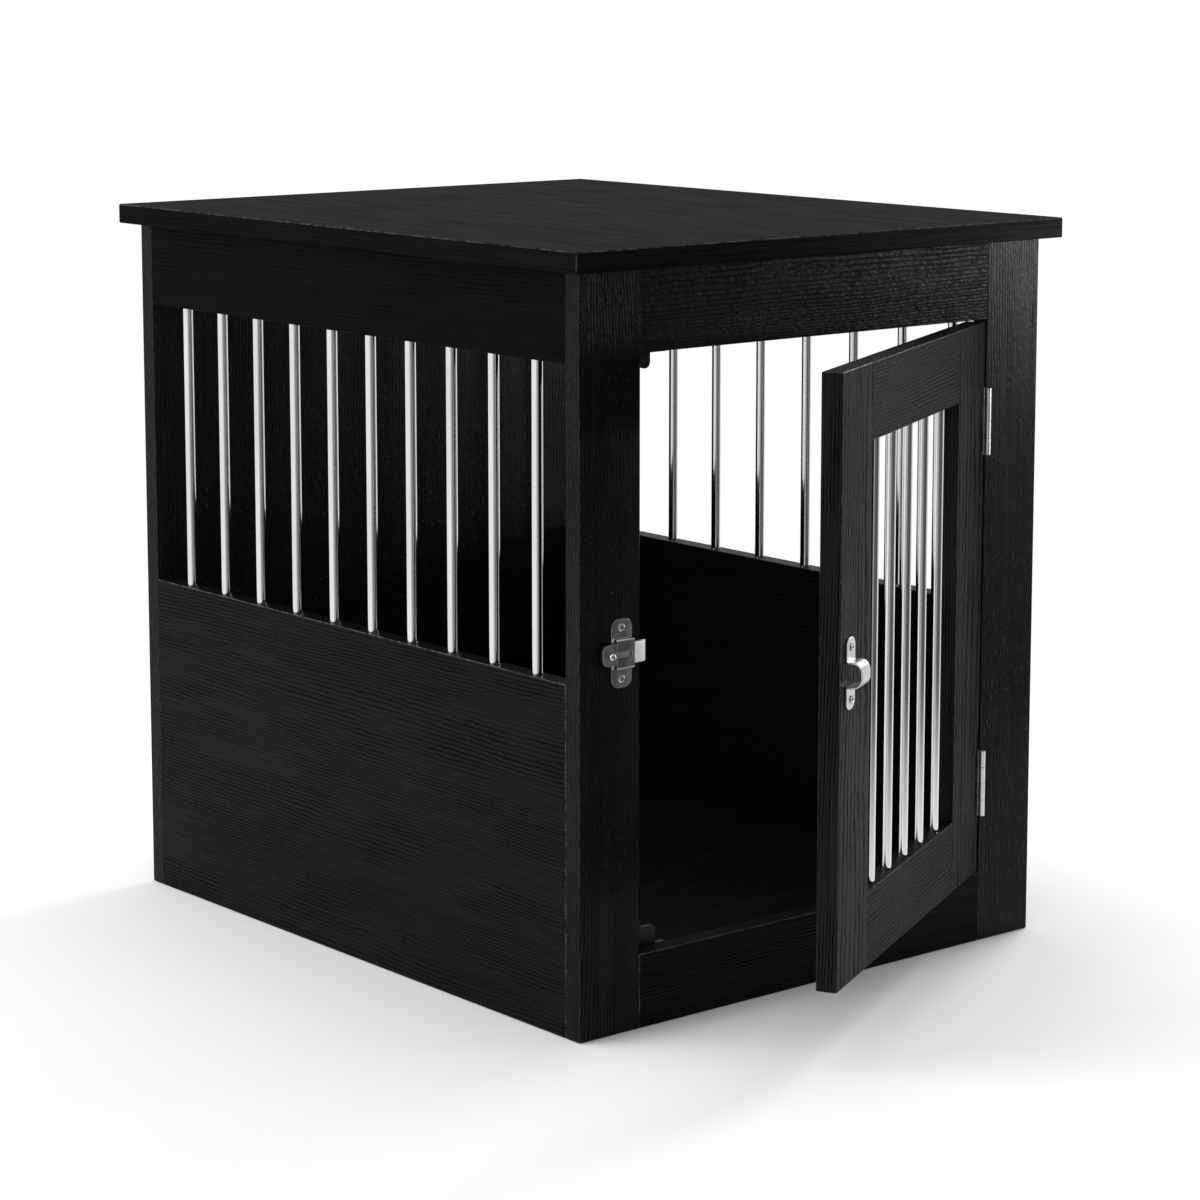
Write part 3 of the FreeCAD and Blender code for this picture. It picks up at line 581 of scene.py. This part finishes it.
screw_set("door_stop_screws", "cabinet", pan_screw, stop_places)
screw_set("cleat_screws", "cabinet", long_screw, cleat_places)
for master in (pan_screw, long_screw, flat_screw, rim_screw):
    one_selected(master)
    bpy.ops.object.delete()

eased_copy("latch_housing", "cabinet", "latch_metal", 0.6)
dress(eased_copy("bolt_bar", "latch_bolt", "latch_metal", 0.7), bolt_nickel_painted_highlight)
dress(eased_copy("keeper", "door", "latch_metal", 0.5), keeper_nickel)
bolt_knob()
for hinge in ("upper_hinge", "lower_hinge"):
    eased_copy(f"{hinge}_post_leaf", "cabinet", "hinge_metal", 0.35)
    eased_copy(f"{hinge}_door_leaf", "door", "hinge_metal", 0.35)


FLOOR_RADIUS = 3.2
FLOOR_DROP = 0.0005
FADE_FROM, FADE_TO = 0.45, 1.7


def studio_floor():
    """A pale floor that fades into the white background away from the crate."""
    bpy.ops.object.select_all(action="DESELECT")
    bpy.ops.mesh.primitive_circle_add(
        vertices=96, radius=FLOOR_RADIUS, fill_type="NGON", location=(0, 0, -FLOOR_DROP)
    )
    floor = bpy.context.object
    floor.name = "studio_floor"
    bpy.ops.object.transform_apply()
    finish = Finish("pale_floor")
    spot = finish.vectors("SUBTRACT", finish.place(), FLOOR_CENTRE)
    reach = finish.node("ShaderNodeVectorMath", {"operation": "LENGTH"}, 1, Vector=spot)
    fade = finish.node(
        "ShaderNodeMapRange", {"interpolation_type": "SMOOTHSTEP"},
        Value=reach, From_Min=FADE_FROM, From_Max=FADE_TO,
    )
    pale = finish.node("ShaderNodeBsdfDiffuse", Color=(0.9, 0.898, 0.9, 1))
    clear = finish.node("ShaderNodeBsdfTransparent", Color=(1, 1, 1, 1))
    faded = finish.node("ShaderNodeMixShader", **{"0": fade, "1": pale, "2": clear})
    finish.node("ShaderNodeOutputMaterial", Surface=faded)
    dress(floor, finish.owner)


CARD_LEVELS = ((0.08, 0.75), (0.2, 0.16), (0.3, 0.08), (0.37, 0.14), (0.46, 0.95), (0.57, 1.25))


def dark_cards():
    """A wall of grey cards round the front of the set, which only reflections show."""
    bpy.ops.object.select_all(action="DESELECT")
    bpy.ops.mesh.primitive_cylinder_add(
        vertices=72, radius=4.8, depth=6, end_fill_type="NOTHING", location=(0, 0, 0.6)
    )
    wall = bpy.context.object
    wall.name = "dark_cards"
    bpy.ops.object.transform_apply()
    first, last = (math.radians(angle) for angle in CARDS)
    pick_faces(wall, lambda face: not first < math.atan2(face.center.y, face.center.x) < last)
    bpy.ops.mesh.delete(type="FACE")
    bpy.ops.object.mode_set(mode="OBJECT")
    finish = Finish("dark_card")
    spot = finish.node("ShaderNodeTexCoord", out=OBJECT)
    node = finish.node("ShaderNodeSeparateXYZ", Vector=spot).socket.node
    x, y = Value(finish, node.outputs["X"]), Value(finish, node.outputs["Y"])
    turn = finish.maths("ARCTAN2", y, x) / math.tau + 0.5
    level = finish.ramp(turn, *CARD_LEVELS)
    grey = finish.node("ShaderNodeEmission", Color=level, Strength=1.0)
    finish.node("ShaderNodeOutputMaterial", Surface=grey)
    dress(wall, finish.owner)
    wall.visible_camera = wall.visible_diffuse = wall.visible_shadow = False
    wall.visible_transmission = wall.visible_volume_scatter = False


def white_surround(ambient):
    """White to the camera and in reflections, a softer level as light."""
    world = bpy.data.worlds.new("studio")
    bpy.context.scene.world = world
    finish = Finish("studio", world)
    path = finish.node("ShaderNodeLightPath").socket.node.outputs
    seen = Value(finish, path["Is Camera Ray"]) + Value(finish, path["Is Glossy Ray"])
    seen = finish.node("ShaderNodeClamp", Value=seen + Value(finish, path["Is Transmission Ray"]))
    strength = ambient + seen * (1 - ambient)
    light = finish.node("ShaderNodeBackground", Color=(1, 1, 1, 1), Strength=strength)
    finish.node("ShaderNodeOutputWorld", Surface=light)


def softbox(name, at, towards, size, watts):
    lamp = bpy.data.lights.new(name, "AREA")
    lamp.shape = "RECTANGLE"
    lamp.size, lamp.size_y = size
    lamp.energy = watts
    holder = bpy.data.objects.new(name, lamp)
    bpy.context.scene.collection.objects.link(holder)
    holder.visible_camera = False
    holder.location = at
    holder.rotation_euler = (Vector(towards) - Vector(at)).to_track_quat("-Z", "Y").to_euler()


LOOKING_DOWN = 8.402
TURNED_RIGHT = 39.647


def camera():
    data = bpy.data.cameras.new("camera")
    data.sensor_width = 36
    data.lens = 102.7
    data.shift_y = -0.12
    eye = bpy.data.objects.new("camera", data)
    bpy.context.scene.collection.objects.link(eye)
    eye.location = (-2.0027, -2.4479, 0.8977)
    eye.rotation_euler = (math.radians(90 - LOOKING_DOWN), 0.0, math.radians(-TURNED_RIGHT))
    bpy.context.scene.camera = eye


studio_floor()
dark_cards()
white_surround(0.5)
softbox("top_softbox", (-0.4, 0.35, 2.8), (-0.1, -0.1, 0), (1.9, 1.9), 33)
softbox("right_softbox", (1.8, 0.15, 1.5), (0.2, -0.2, 0.3), (1.1, 1.1), 33)
softbox("front_light", (2.25, -2.0, 0.5), (0.2, -0.33, 0.6), (0.25, 0.25), 15.5)
softbox("left_softbox", (-2.4, 0.9, 1.5), (0, 0, 0.3), (2.0, 2.0), 42)
camera()
bpy.context.scene.view_settings.view_transform = "Standard"
